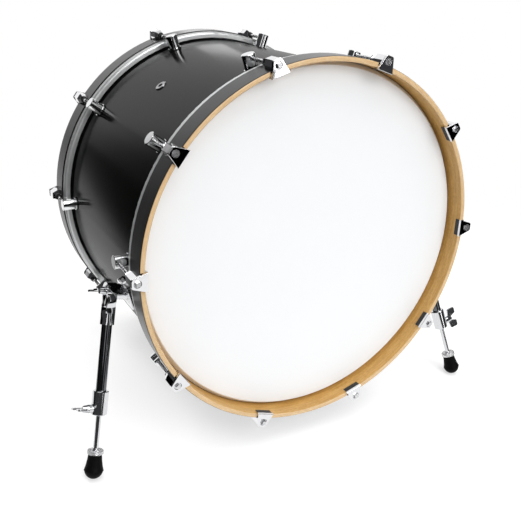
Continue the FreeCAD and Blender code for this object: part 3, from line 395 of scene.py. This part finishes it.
far = (aside * aside + ahead * ahead).math("SQRT").step(*lit_reach)
in_front = 1.0 - along.step(-0.2, 0.5)
beside = front_widening * (1.0 - along.step(0.0, 0.3))
on_paper = (across + edge_slant * along.math("MAXIMUM", 0.0) + beside).step(*paper_edge)
mirrored = on_paper * (1.0 - far * in_front)
white = (1.0, 1.0, 1.0, 1.0)
unlit = paper.node("ShaderNodeEmission", None, {"Color": (0.0, 0.0, 0.0, 1.0), "Strength": 0.0})
backdrop = paper.node("ShaderNodeEmission", None, {"Color": white, "Strength": 1.0})
bounce = paper.node("ShaderNodeBsdfDiffuse", None, {"Color": (0.86, 0.86, 0.86, 1.0)})
shade = paper.node("ShaderNodeBsdfDiffuse", None, {"Color": (0.40, 0.40, 0.40, 1.0)})
# Painted contact shadow: ambient occlusion dims the paper's glow close under the drum.
openness = paper.node("ShaderNodeAmbientOcclusion", {"samples": 8}, {"Distance": contact_reach}, output="AO")
contact_shadow_glow = paper.node("ShaderNodeEmission", None, {"Color": white, "Strength": 0.58})
full_glow = paper.node("ShaderNodeEmission", None, {"Color": white, "Strength": 0.76})
glow = paper.node("ShaderNodeMixShader", None, {0: openness.step(0.35, 0.95), 1: contact_shadow_glow, 2: full_glow})
shown = paper.node("ShaderNodeAddShader", None, {0: shade, 1: glow})
seen_floor = paper.node("ShaderNodeMixShader", None, {0: far, 1: shown, 2: backdrop})
lit_floor = paper.node("ShaderNodeMixShader", None, {0: far, 1: bounce, 2: unlit})
mirror_floor = paper.node("ShaderNodeMixShader", None, {0: mirrored, 1: unlit, 2: backdrop})
ground = paper.node("ShaderNodeMixShader", None, {0: camera_ray, 1: lit_floor, 2: seen_floor})
ground = paper.node("ShaderNodeMixShader", None, {0: mirror_ray, 1: ground, 2: mirror_floor})
paper.node("ShaderNodeOutputMaterial", None, {"Surface": ground})
floor.data.materials.append(floor_material)

# Light: a white panel behind the drum and a pale ceiling in a dark room, which draw the chrome.
# Broad lamps in front, overhead and behind light the drum; the rear one is kept out of the reflections.
# Four narrow lamps draw lines on the legs, lugs and claws and a sheen on the shell's top.
panel_slant = 0.34
ceiling_share = 0.5
world = bpy.data.worlds.new("studio")
bpy.context.scene.world = world
world.use_nodes = True
world.node_tree.nodes.clear()
room = Wire(world.node_tree)
camera_ray = room.node("ShaderNodeLightPath", output="Is Camera Ray")
seen = camera_ray.math("MAXIMUM", room.node("ShaderNodeLightPath", output="Is Glossy Ray"))
seen = seen.math("MAXIMUM", room.node("ShaderNodeLightPath", output="Is Transmission Ray"))
across, along, up = room.node("ShaderNodeTexCoord", output="Generated").parts()
right_of_edge = (across + panel_slant * along).step(-0.05, 0.05)
panel = along.step(0.45, 0.75) * (1.0 - up.step(0.55, 0.80)) * right_of_edge
ceiling = ceiling_share * up.step(0.80, 0.95)
bright_side = panel.math("MAXIMUM", ceiling).math("MAXIMUM", camera_ray)
dark_side = room.node("ShaderNodeBackground", None, {"Color": (0.04, 0.04, 0.042, 1.0), "Strength": 1.0})
white_side = room.node("ShaderNodeBackground", None, {"Color": white, "Strength": 1.0})
ambient = room.node("ShaderNodeBackground", None, {"Color": white, "Strength": 0.42})
mirrored = room.node("ShaderNodeMixShader", None, {0: bright_side, 1: dark_side, 2: white_side})
surroundings = room.node("ShaderNodeMixShader", None, {0: seen, 1: ambient, 2: mirrored})
room.node("ShaderNodeOutputWorld", None, {"Surface": surroundings})


def soft_lamp(name, place, aim, width, height, power):
    """A rectangular lamp that faces its aim."""
    lamp = bpy.data.lights.new(name, "AREA")
    lamp.shape = "RECTANGLE"
    lamp.size = width
    lamp.size_y = height
    lamp.energy = power
    holder = bpy.data.objects.new(name, lamp)
    bpy.context.collection.objects.link(holder)
    holder.location = place
    holder.rotation_euler = (Vector(aim) - Vector(place)).to_track_quat("-Z", "Y").to_euler()
    return holder


soft_lamp("front_lamp", (0.6, -2.5, 2.1), (0.0, -0.2, 0.3), 1.8, 1.4, 39.5)
soft_lamp("top_lamp", (0.2, -0.6, 2.3), (0.0, 0.0, 0.3), 2.2, 1.4, 22.0)
rear_lamp = soft_lamp("rear_lamp", (-0.5, 2.6, 1.9), (0.0, 0.2, 0.3), 1.8, 1.4, 40.0)
rear_lamp.visible_glossy = False
soft_lamp("back_strip", (0.88, 2.4, 0.92), (-0.04, 0.1, 0.59), 0.3, 0.4, 0.6)
soft_lamp("right_strip", (1.3, -2.4, 0.5), (0.0, -0.2, 0.5), 0.24, 0.7, 2.0)
soft_lamp("left_strip", (0.3, -2.4, 0.7), (-0.3, -0.1, 0.3), 0.5, 0.9, 1.1)
soft_lamp("left_lamp", (-1.2, -1.7, 1.05), (-0.25, -0.2, 0.2), 0.4, 0.9, 1.3)

# Camera: in front of the drum, to its left and above it, as in the photograph.
lens = bpy.data.cameras.new("camera")
lens.lens = 49.024
lens.sensor_width = 36.0
camera = bpy.data.objects.new("camera", lens)
bpy.context.collection.objects.link(camera)
camera.location = (-0.58444, -1.03918, 0.80442)
camera.rotation_euler = (1.114452, -0.077867, -0.493883)
bpy.context.scene.camera = camera
bpy.context.scene.view_settings.view_transform = "Standard"
